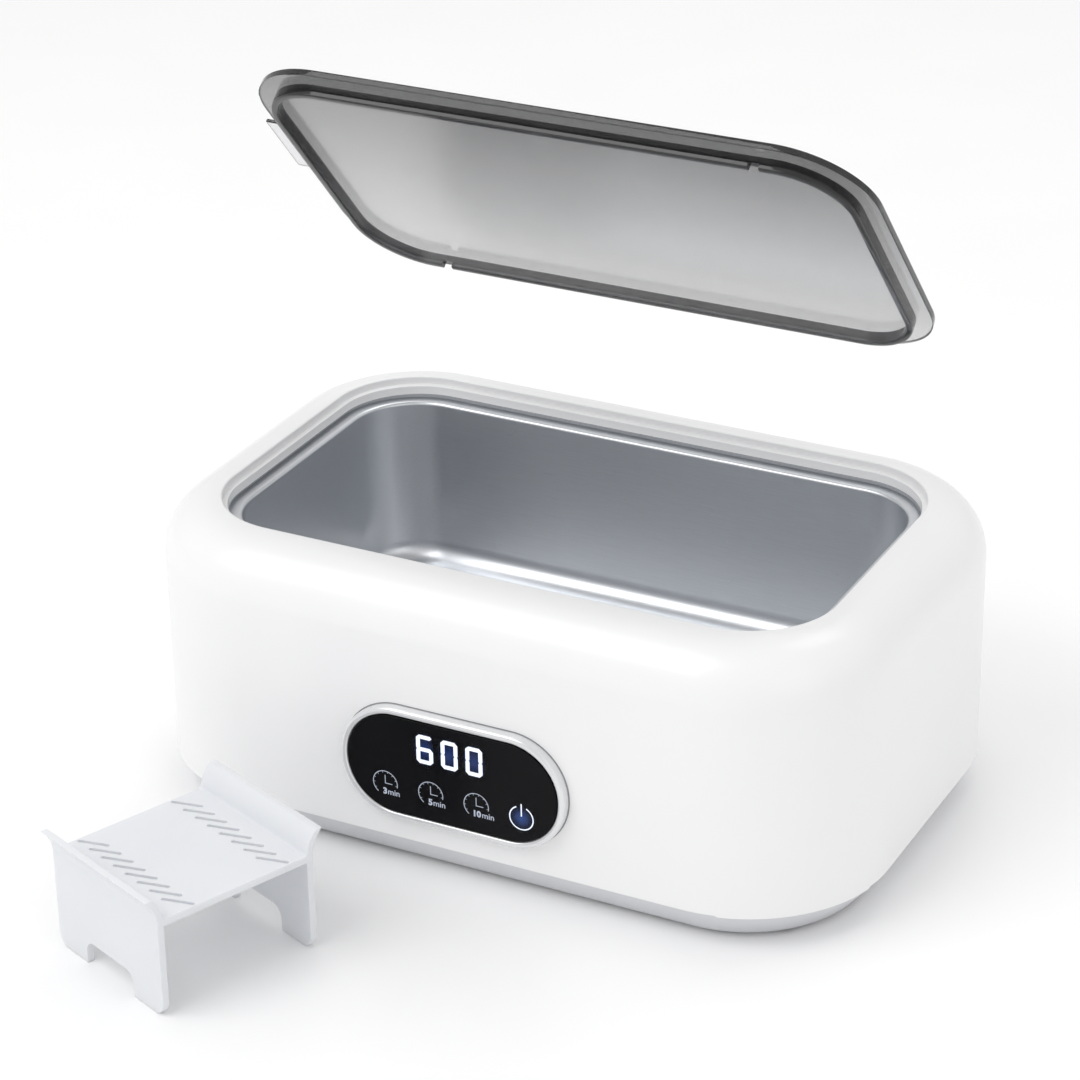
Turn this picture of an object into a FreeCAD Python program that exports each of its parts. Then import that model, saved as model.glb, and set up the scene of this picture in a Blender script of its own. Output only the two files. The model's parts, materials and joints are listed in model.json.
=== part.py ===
import FreeCAD, Part
import math
import os
import re
import Sketcher
from FreeCAD import Placement, Rotation, Vector

# Countertop ultrasonic cleaner with its loose lid and its watch stand.
# Origin: plan centre of the housing, on the floor. +X runs along the long front, the front
# faces -Y, +Z is up. Millimetres. Every size below is set once and used by formula.

doc = FreeCAD.newDocument("ultrasonic_cleaner")
sheet = doc.addObject("Spreadsheet::Sheet", "sizes")

drivingSizes = [
    # housing
    ("body_length", 210.0), ("body_width", 138.5), ("body_height", 84.7), ("corner_round", 40.5),
    ("rim_round", 15.4), ("shell_wall", 2.6), ("roof_wall", 4.8), ("seam_height", 10.0),
    ("rim_sides", 16.2), ("rim_front", 16.95), ("opening_round", 24.3), ("edge_round", 0.5),
    ("recess_depth", 2.3), ("ledge_width", 1.4), ("inner_round", 12.0),
    # base tray and feet
    ("skirt_inset", 7.6), ("tray_step", 0.5), ("tray_floor", 2.2), ("tray_wall", 2.4),
    ("register_height", 3.0), ("register_wall", 2.0), ("fit_gap", 0.3), ("foot_proud", 1.2),
    ("foot_radius", 7.0), ("foot_seat", 1.0), ("foot_corner_gap", 14.0),
    ("foot_side_gap", 11.0), ("tower_radius", 4.0),
    # base screws, and the posts they pull on
    ("post_reach", 29.2), ("post_radius", 3.2), ("screw_radius", 1.5), ("screw_hole_radius", 1.7),
    ("screw_head_radius", 2.8), ("screw_head_height", 2.0), ("screw_grip", 9.0),
    ("head_room_radius", 3.1), ("screw_slack", 0.1), ("thread_gap", 0.02),
    # tank, its seal and its clamps
    ("rim_show", 3.6), ("tank_depth", 50.0), ("tank_round", 18.0), ("tank_sheet", 0.8),
    ("tank_floor_round", 6.0), ("flange_overlap", 2.6), ("flange_round", 25.0),
    ("seal_thickness", 0.8), ("seal_setback", 0.3), ("seal_edge", 0.6), ("clamp_spacing", 60.0),
    ("clamp_reach", 3.7), ("clamp_bite", 3.5), ("clamp_tail", 2.8), ("clamp_width", 10.0),
    ("clamp_sheet", 1.5), ("clamp_post_radius", 2.6), ("small_screw_radius", 1.1),
    ("small_head_radius", 2.1), ("small_head_height", 1.4), ("small_screw_length", 5.0),
    # front panel
    ("panel_level", 34.2), ("panel_length", 61.6), ("panel_height", 28.8), ("panel_round", 14.2),
    ("bezel_width", 2.0), ("bezel_proud", 3.0), ("bezel_round", 0.9), ("lens_sheet", 4.1),
    ("lens_seat", 1.2), ("lens_gap", 0.15), ("lens_edge", 0.25), ("window_margin", 3.2),
    ("key_spacing", 13.45),
    ("key_drop", 6.3), ("key_pad_radius", 3.4), ("display_length", 32.0),
    ("display_height", 13.0), ("display_rise", 6.7), ("panel_board_gap", 7.0),
    ("panel_post_offset", 3.0), ("panel_post_rise", 10.0), ("panel_post_radius", 2.8),
    ("board_sheet", 1.6), ("panel_board_height", 28.0), ("board_edge", 4.0),
    # transducer under the tank
    ("plate_radius", 25.0), ("plate_height", 3.0), ("disc_radius", 22.5), ("disc_height", 6.0),
    # driver board on the tray
    ("driver_length", 58.0), ("driver_width", 60.0), ("driver_side_gap", 8.0),
    ("driver_lift", 5.0), ("standoff_radius", 3.0), ("driver_hole_inset", 4.0),
    ("core_length", 20.0), ("core_width", 17.0), ("core_height", 11.0), ("coil_length", 12.0),
    ("coil_width", 21.0), ("coil_height", 13.5), ("transformer_across", 13.0),
    ("transformer_along", 14.0), ("choke_radius", 6.5), ("choke_wire", 2.8),
    ("choke_across", 15.0), ("choke_along", 13.0),
    ("large_can_radius", 4.5), ("large_can_height", 13.0), ("small_can_radius", 3.2),
    ("small_can_height", 9.0), ("can_across", 22.0), ("can_pitch", 11.0), ("can_along", 19.0),
    ("sink_sheet", 3.0), ("sink_width", 26.0), ("sink_height", 14.0), ("sink_across", 8.0),
    ("sink_along", 7.0), ("fin_length", 5.0), ("fin_sheet", 1.6), ("fin_pitch", 6.0),
    ("switch_sheet", 4.0), ("switch_width", 9.0), ("switch_height", 13.0),
    ("switch_spacing", 13.0),
    # mains inlet at the back
    ("inlet_offset", 45.0), ("inlet_level", 25.0), ("inlet_length", 20.0), ("inlet_height", 11.0),
    ("inlet_depth", 15.0), ("inlet_flange_length", 27.0), ("inlet_flange_height", 14.0),
    ("inlet_flange_sheet", 1.4), ("inlet_round", 3.0), ("inlet_wall", 1.6),
    ("pin_radius", 1.2), ("pin_spacing", 8.6), ("pin_length", 9.0),
    # leads, and where they meet the boards
    ("lead_radius", 1.1), ("lead_exit", 5.0), ("lead_shift", 20.0), ("lead_spread", 3.0),
    ("lead_sweep", 18.0), ("lead_level", 13.0), ("lead_approach", 10.0), ("lead_pitch", 4.0),
    ("lead_rise", 3.0), ("power_pad_along", 0.0), ("power_pad_inset", 7.0),
    ("disc_pad_across", 6.0), ("drive_pad_along", 7.0), ("drive_pad_inset", 4.0),
    ("cable_across", 20.0), ("cable_drop", 8.0), ("cable_sweep", 12.0), ("cable_level", 14.0),
    ("cable_pad_along", 24.0), ("cable_pad_inset", 10.0),
    # lid
    ("lid_gap", 0.7), ("lid_sheet", 2.0), ("lip_margin", 4.6), ("lip_wall", 2.0),
    ("lip_depth", 3.3), ("lid_edge_round", 0.6), ("tab_length", 24.0), ("tab_proud", 7.0),
    ("tab_root", 3.0), ("tab_height", 1.8), ("tab_lift", 0.75), ("tab_place", -3.0),
    ("notch_place", 60.0), ("notch_width", 3.0), ("notch_depth", 1.5),
    ("pole_back", 94.2), ("pole_level", 106.4), ("lid_tilt", 48.5), ("lid_rest_gap", 0.1),
    # watch stand
    ("stand_width", 48.2), ("stand_length", 46.1), ("stand_height", 28.2), ("stand_wall", 2.0),
    ("wing_rise", 6.6), ("wing_flare", 3.2), ("arch_length", 21.0), ("arch_height", 7.0),
    ("arch_round", 3.4), ("leg_round", 4.0), ("slot_length", 9.0), ("slot_width", 1.1),
    ("slot_round", 0.5),
    ("slot_inset", 9.5), ("slot_pitch", 5.3), ("slot_turn", 58.0), ("stand_place_across", -36.9),
    ("stand_place_front", 156.0), ("stand_turn", 22.4),
]
for row, (alias, value) in enumerate(drivingSizes, start=1):
    sheet.set("A%d" % row, alias)
    sheet.set("B%d" % row, str(value))
    sheet.setAlias("B%d" % row, alias)
doc.recompute()
values = dict(drivingSizes)

# Formulas that several sub-parts share.
openingLength = "(body_length - 2*rim_sides)"
openingWidth = "(body_width - 2*rim_front)"
mouthLength = "(%s - 2*ledge_width)" % openingLength
mouthWidth = "(%s - 2*ledge_width)" % openingWidth
flangeLength = "(%s + 2*flange_overlap)" % mouthLength
flangeWidth = "(%s + 2*flange_overlap)" % mouthWidth
roofLevel = "(body_height - roof_wall)"
flangeLevel = "(%s - seal_thickness)" % roofLevel
clampLevel = "(%s - tank_sheet)" % flangeLevel
tankFloorLevel = "(%s - tank_depth - tank_sheet)" % flangeLevel
ledgeLevel = "(body_height - recess_depth)"
diagonal = math.sqrt(0.5)
postAcross = "(body_length/2 - corner_round + post_reach*%.6f)" % diagonal
postAlong = "(body_width/2 - corner_round + post_reach*%.6f)" % diagonal
clampAlong = "(%s/2 + clamp_reach)" % flangeWidth
panelPostAcross = "(panel_length/2 + panel_post_offset)"
panelBoardFace = "(body_width/2 - shell_wall - panel_board_gap)"
lensBack = "(body_width/2 - lens_seat)"
trayFloorLevel = "(foot_proud + tray_floor)"
footAcross = "(body_length/2 - skirt_inset - corner_round/2 - foot_side_gap)"
footAlong = "(body_width/2 - skirt_inset - foot_radius - foot_corner_gap)"
driverLevel = "(%s + driver_lift)" % trayFloorLevel
driverTop = "(%s + board_sheet)" % driverLevel
driverCentre = "(driver_side_gap + shell_wall + skirt_inset + driver_length/2 - body_length/2)"
driverPostAcross = "(driver_length/2 - driver_hole_inset)"
driverPostAlong = "(driver_width/2 - driver_hole_inset)"


def qualified(formula):
    """Turn size names into references to the sheet."""
    return re.sub(r"[a-z]+(?:_[a-z]+)+", lambda found: "sizes." + found.group(0), str(formula))


def number(formula):
    """The formula's value with the sizes as they stand."""
    plain = re.sub(r"[a-z]+(?:_[a-z]+)+", lambda found: repr(values[found.group(0)]), str(formula))
    return float(FreeCAD.Units.Quantity(plain).Value)


def bind(item, prop, formula):
    item.setExpression(prop, qualified(formula))


def place(item, across="0", along="0", level="0"):
    """Put an item at a point given by three formulas."""
    for axis, formula in zip("xyz", (across, along, level)):
        bind(item, ".Placement.Base." + axis, formula)
    return item


def newBody(label):
    body = doc.addObject("PartDesign::Body", label)
    body.Label = label
    return body


def newSketch(body, name, role="XY_Plane", right="0", up="0", out="0", turn=0.0):
    """A sketch on an origin plane, moved right, up and out of that plane by formulas."""
    sketch = body.newObject("Sketcher::SketchObject", name)
    plane = next(item for item in body.Origin.OriginFeatures if item.Role == role)
    sketch.AttachmentSupport = [(plane, "")]
    sketch.MapMode = "FlatFace"
    sketch.AttachmentOffset = Placement(Vector(), Rotation(Vector(0, 0, 1), turn))
    for axis, formula in zip("xyz", (right, up, out)):
        bind(sketch, "AttachmentOffset.Base." + axis, formula)
    return sketch


def dimension(sketch, kind, *where):
    """Add a driving constraint whose value follows a formula."""
    formula = where[-1]
    index = sketch.addConstraint(Sketcher.Constraint(kind, *where[:-1], number(formula)))
    bind(sketch, "Constraints[%d]" % index, formula)


def drawRoundedBox(sketch, length, width, radius):
    """A rounded rectangle about the sketch origin."""
    half, depth, turn = number(length)/2, number(width)/2, number(radius)
    first = sketch.GeometryCount
    flatX, flatY = half - turn, depth - turn
    sides = [((-flatX, -depth), (flatX, -depth)), ((half, -flatY), (half, flatY)),
             ((flatX, depth), (-flatX, depth)), ((-half, flatY), (-half, -flatY))]
    for start, end in sides:
        sketch.addGeometry(Part.LineSegment(Vector(*start, 0), Vector(*end, 0)), False)
    centres = [(flatX, -flatY), (flatX, flatY), (-flatX, flatY), (-flatX, -flatY)]
    for quarter, centre in enumerate(centres):
        circle = Part.Circle(Vector(*centre, 0), Vector(0, 0, 1), turn)
        start = (quarter - 1)*math.pi/2
        sketch.addGeometry(Part.ArcOfCircle(circle, start, start + math.pi/2), False)
    for quarter in range(4):
        side, arc, after = first + quarter, first + 4 + quarter, first + (quarter + 1) % 4
        sketch.addConstraint(Sketcher.Constraint("Tangent", side, 2, arc, 1))
        sketch.addConstraint(Sketcher.Constraint("Tangent", arc, 2, after, 1))
        direction = "Horizontal" if quarter % 2 == 0 else "Vertical"
        sketch.addConstraint(Sketcher.Constraint(direction, side))
    for quarter in range(3):
        sketch.addConstraint(Sketcher.Constraint("Equal", first + 4 + quarter, first + 5 + quarter))
    sketch.addConstraint(Sketcher.Constraint("Symmetric", first + 4, 3, first + 6, 3, -1, 1))
    dimension(sketch, "DistanceX", first + 3, 1, first + 1, 1, length)
    dimension(sketch, "DistanceY", first, 1, first + 2, 1, width)
    dimension(sketch, "Radius", first + 4, radius)


def drawCircles(sketch, radius, points):
    """Circles of one radius, each at two signed formulas from the sketch origin."""
    for across, along in points:
        index = sketch.GeometryCount
        centre = Vector(number(across), number(along), 0)
        sketch.addGeometry(Part.Circle(centre, Vector(0, 0, 1), number(radius)), False)
        dimension(sketch, "Radius", index, radius)
        for kind, formula in (("DistanceX", across), ("DistanceY", along)):
            if number(formula) >= 0:
                dimension(sketch, kind, -1, 1, index, 3, formula)
            else:
                dimension(sketch, kind, index, 3, -1, 1, "-(%s)" % formula)


def fourCorners(across, along):
    return [(sx + across, sy + along) for sx in ("", "-") for sy in ("", "-")]


def extrude(body, kind, sketch, length, reverse=False, name="", taper=None):
    """A Pad or a Pocket, which must change the body's volume."""
    before = body.Shape.Volume if body.Tip else 0.0
    feature = body.newObject("PartDesign::" + kind, name or sketch.Name + kind)
    feature.Profile = sketch
    feature.Reversed = reverse
    bind(feature, "Length", length)
    if taper:
        bind(feature, "TaperAngle", taper)
    doc.recompute()
    change = body.Shape.Volume - before
    assert change*(1 if kind == "Pad" else -1) > 0.01, "%s changed nothing" % feature.Name
    return feature


def edgeNames(shape, test):
    return ["Edge%d" % (n + 1) for n, edge in enumerate(shape.Edges) if test(edge.BoundBox)]


def roundEdges(body, name, radius, test, kind="Fillet"):
    """Fillet or chamfer the edges of the body's tip whose box passes the test."""
    feature = body.newObject("PartDesign::" + kind, name)
    base = feature.BaseFeature
    feature.Base = (base, edgeNames(base.Shape, test))
    bind(feature, "Size" if kind == "Chamfer" else "Radius", radius)
    doc.recompute()
    return feature


def flatAt(level, halfLength=None, halfWidth=None, slack=0.01):
    """A test for edges that lie flat at a level, inside or on a given half size."""
    def test(box):
        flat = abs(box.ZMin - level) < slack and abs(box.ZMax - level) < slack
        inX = halfLength is None or max(abs(box.XMin), abs(box.XMax)) < halfLength + slack
        inY = halfWidth is None or max(abs(box.YMin), abs(box.YMax)) < halfWidth + slack
        return flat and inX and inY
    return test


def makeHousing():
    """White moulded shell: soft shoulders, a recess for the lid, posts inside."""
    body = newBody("housing_shell")
    outline = newSketch(body, "shellOutline", out="seam_height")
    drawRoundedBox(outline, "body_length", "body_width", "corner_round")
    extrude(body, "Pad", outline, "body_height - seam_height")
    top = number("body_height")
    hollow = newSketch(body, "shellHollow", out="seam_height")
    drawRoundedBox(hollow, "body_length - 2*shell_wall", "body_width - 2*shell_wall",
                   "corner_round - shell_wall")
    extrude(body, "Pocket", hollow, "body_height - seam_height - roof_wall", reverse=True)
    roundEdges(body, "innerShoulder", "inner_round", flatAt(number(roofLevel)))
    roundEdges(body, "shoulder", "rim_round", flatAt(top))
    posts = newSketch(body, "screwPosts", out="seam_height")
    drawCircles(posts, "post_radius", fourCorners(postAcross, postAlong))
    extrude(body, "Pad", posts, roofLevel + " - seam_height + 1")
    clampPosts = newSketch(body, "clampPosts", out=clampLevel)
    drawCircles(clampPosts, "clamp_post_radius", fourCorners("clamp_spacing", clampAlong))
    extrude(body, "Pad", clampPosts, "roof_wall - 2")
    panelPosts = newSketch(body, "panelPosts", "XZ_Plane", up="panel_level",
                           out="body_width/2 - shell_wall/2")
    drawCircles(panelPosts, "panel_post_radius",
                fourCorners(panelPostAcross, "panel_post_rise"))
    extrude(body, "Pad", panelPosts, "shell_wall/2 + panel_board_gap", reverse=True)
    recess = newSketch(body, "lidRecess", out="body_height")
    drawRoundedBox(recess, openingLength, openingWidth, "opening_round")
    extrude(body, "Pocket", recess, "recess_depth")
    mouth = newSketch(body, "mouth", out=ledgeLevel)
    drawRoundedBox(mouth, mouthLength, mouthWidth, "opening_round - ledge_width")
    extrude(body, "Pocket", mouth, "roof_wall")
    roundEdges(body, "rimEdge", "edge_round",
               flatAt(top, number(openingLength)/2, number(openingWidth)/2))
    seat = newSketch(body, "lensSeat", "XZ_Plane", up="panel_level", out="body_width/2")
    drawRoundedBox(seat, "panel_length + 2*lens_gap", "panel_height + 2*lens_gap",
                   "panel_round + lens_gap")
    extrude(body, "Pocket", seat, "lens_seat")
    window = newSketch(body, "window", "XZ_Plane", up="panel_level", out=lensBack)
    drawRoundedBox(window, "panel_length - 2*window_margin", "panel_height - 2*window_margin",
                   "panel_round - window_margin")
    extrude(body, "Pocket", window, "shell_wall")
    inletHole = newSketch(body, "inletHole", "XZ_Plane", right="inlet_offset",
                          up="inlet_level", out="-body_width/2")
    drawRoundedBox(inletHole, "inlet_length + fit_gap", "inlet_height + fit_gap",
                   "inlet_round + fit_gap/2")
    extrude(body, "Pocket", inletHole, "2*shell_wall", reverse=True)
    pilots = newSketch(body, "screwPilots", out="seam_height")
    drawCircles(pilots, "screw_radius", fourCorners(postAcross, postAlong))
    extrude(body, "Pocket", pilots, "screw_grip + 2", reverse=True)
    clampPilots = newSketch(body, "clampPilots", out=clampLevel)
    drawCircles(clampPilots, "small_screw_radius", fourCorners("clamp_spacing", clampAlong))
    extrude(body, "Pocket", clampPilots, "small_screw_length - clamp_sheet + fit_gap",
            reverse=True)
    panelPilots = newSketch(body, "panelPilots", "XZ_Plane", up="panel_level",
                            out=panelBoardFace)
    drawCircles(panelPilots, "small_screw_radius",
                fourCorners(panelPostAcross, "panel_post_rise"))
    extrude(body, "Pocket", panelPilots, "small_screw_length - board_sheet + fit_gap",
            reverse=True)
    return body


def makeBaseTray():
    """Grey tray that closes the housing from below, with a sloped skirt."""
    body = newBody("base_tray")
    outline = newSketch(body, "trayOutline", out="foot_proud")
    drawRoundedBox(outline, "body_length - 2*skirt_inset", "body_width - 2*skirt_inset",
                   "corner_round - skirt_inset")
    extrude(body, "Pad", outline, "seam_height - foot_proud",
            taper="atan((skirt_inset - tray_step)/(seam_height - foot_proud))")
    hollow = newSketch(body, "trayHollow", out="seam_height")
    inset = "(skirt_inset + tray_wall)"
    drawRoundedBox(hollow, "body_length - 2*" + inset, "body_width - 2*" + inset,
                   "corner_round - " + inset)
    extrude(body, "Pocket", hollow, "seam_height - %s" % trayFloorLevel)
    register = newSketch(body, "register", out="seam_height - 1")
    outside = "(shell_wall + fit_gap)"
    inside = "(shell_wall + fit_gap + register_wall)"
    for inset in (outside, inside):
        drawRoundedBox(register, "body_length - 2*" + inset, "body_width - 2*" + inset,
                       "corner_round - " + inset)
    extrude(body, "Pad", register, "register_height + 1")
    towers = newSketch(body, "screwTowers", out="foot_proud + 1")
    drawCircles(towers, "tower_radius", fourCorners(postAcross, postAlong))
    extrude(body, "Pad", towers, "seam_height - foot_proud - 1")
    standoffs = newSketch(body, "standoffs", right=driverCentre, out="foot_proud + 1")
    drawCircles(standoffs, "standoff_radius", fourCorners(driverPostAcross, driverPostAlong))
    extrude(body, "Pad", standoffs, "tray_floor + driver_lift - 1")
    seats = newSketch(body, "footSeats", out="foot_proud")
    drawCircles(seats, "foot_radius + fit_gap/2", fourCorners(footAcross, footAlong))
    extrude(body, "Pocket", seats, "foot_seat", reverse=True)
    bores = newSketch(body, "screwBores", out="foot_proud")
    drawCircles(bores, "screw_hole_radius", fourCorners(postAcross, postAlong))
    extrude(body, "Pocket", bores, "seam_height", reverse=True)
    headRooms = newSketch(body, "headRooms", out="foot_proud")
    drawCircles(headRooms, "head_room_radius", fourCorners(postAcross, postAlong))
    extrude(body, "Pocket", headRooms, "tray_floor + screw_head_height", reverse=True)
    driverPilots = newSketch(body, "driverPilots", right=driverCentre, out=driverLevel)
    drawCircles(driverPilots, "small_screw_radius",
                fourCorners(driverPostAcross, driverPostAlong))
    extrude(body, "Pocket", driverPilots, "small_screw_length - board_sheet + fit_gap")
    return body


def cylinder(name, radius, length, across="0", along="0", level="0", direction=(0, 0, 1)):
    """A primitive cylinder whose base stands at a point and which runs along a direction."""
    item = doc.addObject("Part::Cylinder", name)
    bind(item, "Radius", radius)
    bind(item, "Height", length)
    item.Placement.Rotation = Rotation(Vector(0, 0, 1), Vector(*direction))
    return place(item, across, along, level)


def block(name, length, width, height, across="0", along="0", level="0"):
    """A primitive box centred on a point in plan, standing on its level."""
    item = doc.addObject("Part::Box", name)
    for prop, formula in (("Length", length), ("Width", width), ("Height", height)):
        bind(item, prop, formula)
    return place(item, "%s - (%s)/2" % (across, length), "%s - (%s)/2" % (along, width), level)


def group(label, items):
    """Separate solids that share one node."""
    node = doc.addObject("Part::Compound", label)
    node.Label = label
    node.Links = items
    return node


def fused(label, items):
    node = doc.addObject("Part::MultiFuse", label)
    node.Label = label
    node.Shapes = items
    return node


def cut(label, base, tool):
    node = doc.addObject("Part::Cut", label)
    node.Label = label
    node.Base, node.Tool = base, tool
    return node


def makeFeet():
    """Four rubber pads, each with a softened lower edge, seated in the tray."""
    pads = []
    for n, (across, along) in enumerate(fourCorners(footAcross, footAlong)):
        pad = cylinder("footBlank%d" % n, "foot_radius", "foot_proud + foot_seat",
                       across, along)
        soft = doc.addObject("Part::Fillet", "foot%d" % n)
        soft.Base = pad
        soft.Edges = [(3, values["edge_round"], values["edge_round"])]
        pads.append(soft)
    return group("rubber_feet", pads)


def makeScrews(label, points, level, size, up=1):
    """Headed screws: the head's bearing face is at the level, the shank runs up or down."""
    headRadius, headHeight, radius, length = size
    screws = []
    for n, (across, along) in enumerate(points):
        head = cylinder("%sHead%d" % (label, n), headRadius, headHeight, across, along, level,
                        (0, 0, -up))
        shank = cylinder("%sShank%d" % (label, n), radius + " - thread_gap", length, across, along,
                         level, (0, 0, up))
        screws.append(fused("%sScrew%d" % (label, n), [head, shank]))
    return group(label, screws)


smallScrew = ("small_head_radius", "small_head_height", "small_screw_radius",
              "small_screw_length")


def makeBaseScrews():
    size = ("screw_head_radius", "screw_head_height", "screw_radius",
            "seam_height - %s - screw_head_height + screw_grip" % trayFloorLevel)
    return makeScrews("base_screws", fourCorners(postAcross, postAlong),
                      "%s + screw_head_height" % trayFloorLevel, size)


def makeTank():
    """Drawn stainless tank with a flat flange."""
    body = newBody("tank")
    length = "(%s - 2*rim_show)" % mouthLength
    width = "(%s - 2*rim_show)" % mouthWidth
    outside = newSketch(body, "tankOutside", out=tankFloorLevel)
    drawRoundedBox(outside, length + " + 2*tank_sheet", width + " + 2*tank_sheet",
                   "tank_round + tank_sheet")
    extrude(body, "Pad", outside, "tank_depth + tank_sheet")
    flange = newSketch(body, "tankFlange", out=clampLevel)
    drawRoundedBox(flange, flangeLength, flangeWidth, "flange_round")
    extrude(body, "Pad", flange, "tank_sheet")
    inside = newSketch(body, "tankInside", out=flangeLevel)
    drawRoundedBox(inside, length, width, "tank_round")
    extrude(body, "Pocket", inside, "tank_depth")
    roundEdges(body, "tankInnerFloor", "tank_floor_round",
               flatAt(number(tankFloorLevel) + number("tank_sheet")))
    roundEdges(body, "tankOuterFloor", "tank_floor_round + tank_sheet",
               flatAt(number(tankFloorLevel)))
    return body


def makeTankSeal():
    """Flat silicone ring between the roof and the tank flange."""
    body = newBody("tank_seal")
    ring = newSketch(body, "sealRing", out=flangeLevel)
    drawRoundedBox(ring, flangeLength + " - 2*seal_edge", flangeWidth + " - 2*seal_edge",
                   "flange_round - seal_edge")
    drawRoundedBox(ring, mouthLength + " + 2*seal_setback", mouthWidth + " + 2*seal_setback",
                   "opening_round - ledge_width + seal_setback")
    extrude(body, "Pad", ring, "seal_thickness")
    return body


def makeTankClamps():
    """Four sheet clips that hold the flange up against the roof."""
    clamps = []
    for n, (across, along) in enumerate(fourCorners("clamp_spacing", clampAlong)):
        side = "-1" if along.startswith("-") else "1"
        middle = "%s*(%s/2 + (clamp_reach + clamp_tail - clamp_bite)/2)" % (side, flangeWidth)
        plate = block("clampPlate%d" % n, "clamp_width", "clamp_bite + clamp_reach + clamp_tail",
                      "clamp_sheet", across, middle, clampLevel + " - clamp_sheet")
        hole = cylinder("clampHole%d" % n, "small_screw_radius + screw_slack", "3*clamp_sheet", across,
                        along, clampLevel + " - 2*clamp_sheet")
        clamps.append(cut("clamp%d" % n, plate, hole))
    return group("tank_clamps", clamps)


def makePill(label, out, depth, length, height, turn, inner=None, front=None):
    """A rounded plate on the front, from a plane outwards, with an optional hole."""
    body = newBody(label)
    outline = newSketch(body, label + "Outline", "XZ_Plane", up="panel_level", out=out)
    drawRoundedBox(outline, length, height, turn)
    if inner:
        drawRoundedBox(outline, *inner)
    extrude(body, "Pad", outline, depth)
    if front:
        plane = -number(out) - number(depth)
        roundEdges(body, label + "Edge", front,
                   lambda box: abs(box.YMin - plane) < 0.01 and abs(box.YMax - plane) < 0.01)
    return body


def makeBezel():
    return makePill("front_bezel", "body_width/2", "bezel_proud",
                    "panel_length + 2*lens_gap + 2*bezel_width",
                    "panel_height + 2*lens_gap + 2*bezel_width",
                    "panel_round + lens_gap + bezel_width",
                    ("panel_length + 2*lens_gap", "panel_height + 2*lens_gap",
                     "panel_round + lens_gap"), "bezel_round")


def makeLens():
    return makePill("panel_lens", lensBack, "lens_sheet", "panel_length", "panel_height",
                    "panel_round", None, "lens_edge")


def makeDisplay():
    """Three-digit light display on the panel board, behind the lens window."""
    return named("display_module", block(
        "displayBlock", "display_length", "panel_board_gap - fit_gap", "display_height", "0",
        "-(%s + (panel_board_gap - fit_gap)/2)" % panelBoardFace,
        "panel_level + display_rise - display_height/2"))


def makeKeyPads():
    """Conductive foam plugs between the board and the lens, one per touch key."""
    pads = [cylinder("keyPad%d" % n, "key_pad_radius", "%s - %s" % (lensBack, panelBoardFace),
                     "(%d*key_spacing/2)" % step, "-" + panelBoardFace,
                     "panel_level - key_drop", (0, -1, 0))
            for n, step in enumerate((-3, -1, 1, 3))]
    return group("key_pads", pads)


def named(label, item):
    item.Label = label
    return item


def makePanelBoard():
    board = block("panelBoardBlank", "2*%s + 2*board_edge" % panelPostAcross, "board_sheet",
                  "panel_board_height", "0", "board_sheet/2 - %s" % panelBoardFace,
                  "panel_level - panel_board_height/2")
    holes = [cylinder("panelHole%d" % n, "small_screw_radius + screw_slack", "3*board_sheet", across,
                      "-(%s) - board_sheet" % panelBoardFace, "panel_level + " + rise,
                      (0, 1, 0))
             for n, (across, rise) in enumerate(fourCorners(panelPostAcross,
                                                            "panel_post_rise"))]
    return cut("panel_board", board, fused("panelHoles", holes))


def makePanelScrews():
    screws = []
    for n, (across, rise) in enumerate(fourCorners(panelPostAcross, "panel_post_rise")):
        seat = "board_sheet - %s" % panelBoardFace
        head = cylinder("panelHead%d" % n, "small_head_radius", "small_head_height", across,
                        seat, "panel_level + " + rise, (0, 1, 0))
        shank = cylinder("panelShank%d" % n, "small_screw_radius - thread_gap",
                         "small_screw_length", across, seat, "panel_level + " + rise,
                         (0, -1, 0))
        screws.append(fused("panelScrew%d" % n, [head, shank]))
    return group("panel_board_screws", screws)


def makeTransducer():
    """Backing plate bonded to the tank floor, and the piezo disc bonded to the plate."""
    plate = cylinder("transducerPlate", "plate_radius", "plate_height",
                     level=tankFloorLevel + " - plate_height")
    disc = cylinder("transducerDisc", "disc_radius", "disc_height",
                    level=tankFloorLevel + " - plate_height - disc_height")
    return named("transducer_plate", plate), named("transducer_disc", disc)


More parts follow.
